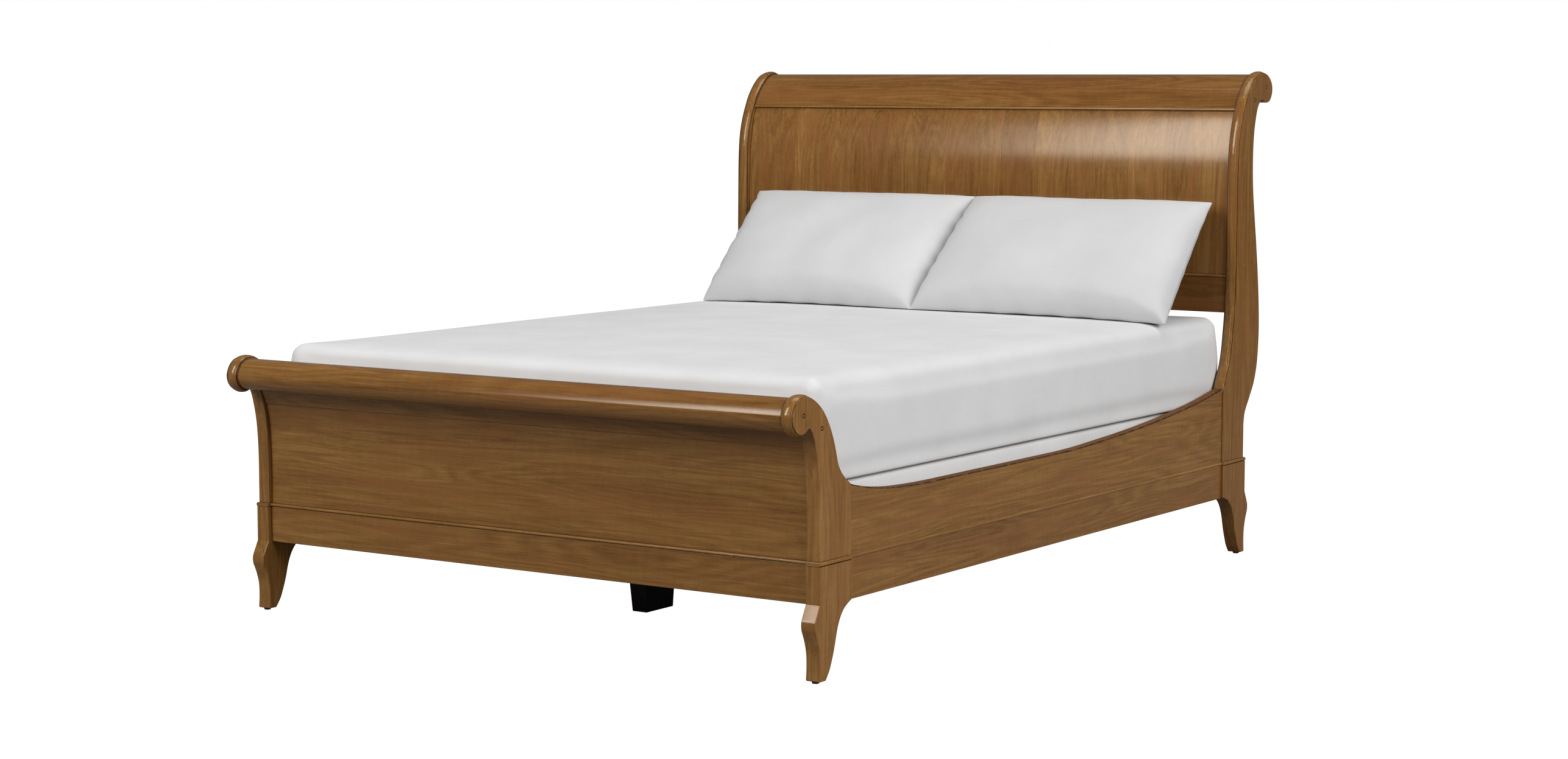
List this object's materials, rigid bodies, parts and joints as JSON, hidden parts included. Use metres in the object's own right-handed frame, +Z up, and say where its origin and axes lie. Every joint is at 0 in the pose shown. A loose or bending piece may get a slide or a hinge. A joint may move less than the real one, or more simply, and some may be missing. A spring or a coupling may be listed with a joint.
{
  "type": "sleigh bed",
  "caption": "Wooden sleigh bed with scrolled headboard and footboard, curved side rails, slatted base, foundation, mattress and pillows.",
  "frame": {"origin": "centre of the overall box in plan, on the floor", "axes": "+Z up, -Y towards the foot end, +Y towards the head end, X across the bed"},
  "size_m": [1.7, 2.4561, 1.3533],
  "materials": {
    "frame_wood": "satin lacquer over a warm brown stain with dark glaze in the joints",
    "support_wood": "planed and unfinished",
    "centre_leg_wood": "dark stained",
    "hook_steel": "zinc plated",
    "glide_plastic": "matt moulded",
    "mattress_cotton": "smooth woven fitted cover",
    "foundation_cotton": "plain woven ticking",
    "pillow_cotton": "smooth woven case"
  },
  "bodies": {
    "frame": {"foot_glide_left": "glide_plastic", "rail_hook_foot_left": "hook_steel", "foot_glide_right": "glide_plastic", "rail_hook_foot_right": "hook_steel", "head_glide_left": "glide_plastic", "rail_hook_head_left": "hook_steel", "head_glide_right": "glide_plastic", "rail_hook_head_right": "hook_steel", "foot_leg_left": "frame_wood", "foot_collar_left": "frame_wood", "footboard_post_left": "frame_wood", "footboard_plug_left_1": "frame_wood", "footboard_plug_left_2": "frame_wood", "foot_leg_right": "frame_wood", "foot_collar_right": "frame_wood", "footboard_post_right": "frame_wood", "footboard_plug_right_1": "frame_wood", "footboard_plug_right_2": "frame_wood", "head_leg_left": "frame_wood", "head_collar_left": "frame_wood", "headboard_post_left": "frame_wood", "headboard_plug_left_1": "frame_wood", "headboard_plug_left_2": "frame_wood", "head_leg_right": "frame_wood", "head_collar_right": "frame_wood", "headboard_post_right": "frame_wood", "headboard_plug_right_1": "frame_wood", "headboard_plug_right_2": "frame_wood", "footboard_roll": "frame_wood", "footboard_cove": "frame_wood", "footboard_panel": "frame_wood", "footboard_bead": "frame_wood", "footboard_apron": "frame_wood", "headboard_crest_rail": "frame_wood", "headboard_crest_bead": "frame_wood", "headboard_panel": "frame_wood", "headboard_lower_bead": "frame_wood", "headboard_lower_rail": "frame_wood", "headboard_stretcher": "frame_wood", "side_rail_left": "frame_wood", "side_rail_bead_left": "frame_wood", "side_rail_right": "frame_wood", "side_rail_bead_right": "frame_wood", "slat_cleat_left": "support_wood", "slat_cleat_right": "support_wood", "slat_1": "support_wood", "slat_2": "support_wood", "slat_3": "support_wood", "slat_4": "support_wood", "slat_5": "support_wood", "centre_leg_1": "centre_leg_wood", "centre_leg_2": "centre_leg_wood", "centre_leg_3": "centre_leg_wood"},
    "foundation": {"foundation": "foundation_cotton"},
    "mattress": {"mattress": "mattress_cotton"},
    "pillow_left": {"pillow_left": "pillow_cotton"},
    "pillow_right": {"pillow_right": "pillow_cotton"}
  },
  "joints": [
    {"name": "foundation_lift", "type": "slide", "parent": "frame", "child": "foundation", "axis": [0, 0, 1], "range_m": [0, 0.5]},
    {"name": "mattress_lift", "type": "slide", "parent": "foundation", "child": "mattress", "axis": [0, 0, 1], "range_m": [0, 0.3]},
    {"name": "pillow_left_lift", "type": "slide", "parent": "mattress", "child": "pillow_left", "axis": [0, 0, 1], "range_m": [0, 0.35]},
    {"name": "pillow_right_lift", "type": "slide", "parent": "mattress", "child": "pillow_right", "axis": [0, 0, 1], "range_m": [0, 0.35]}
  ]
}
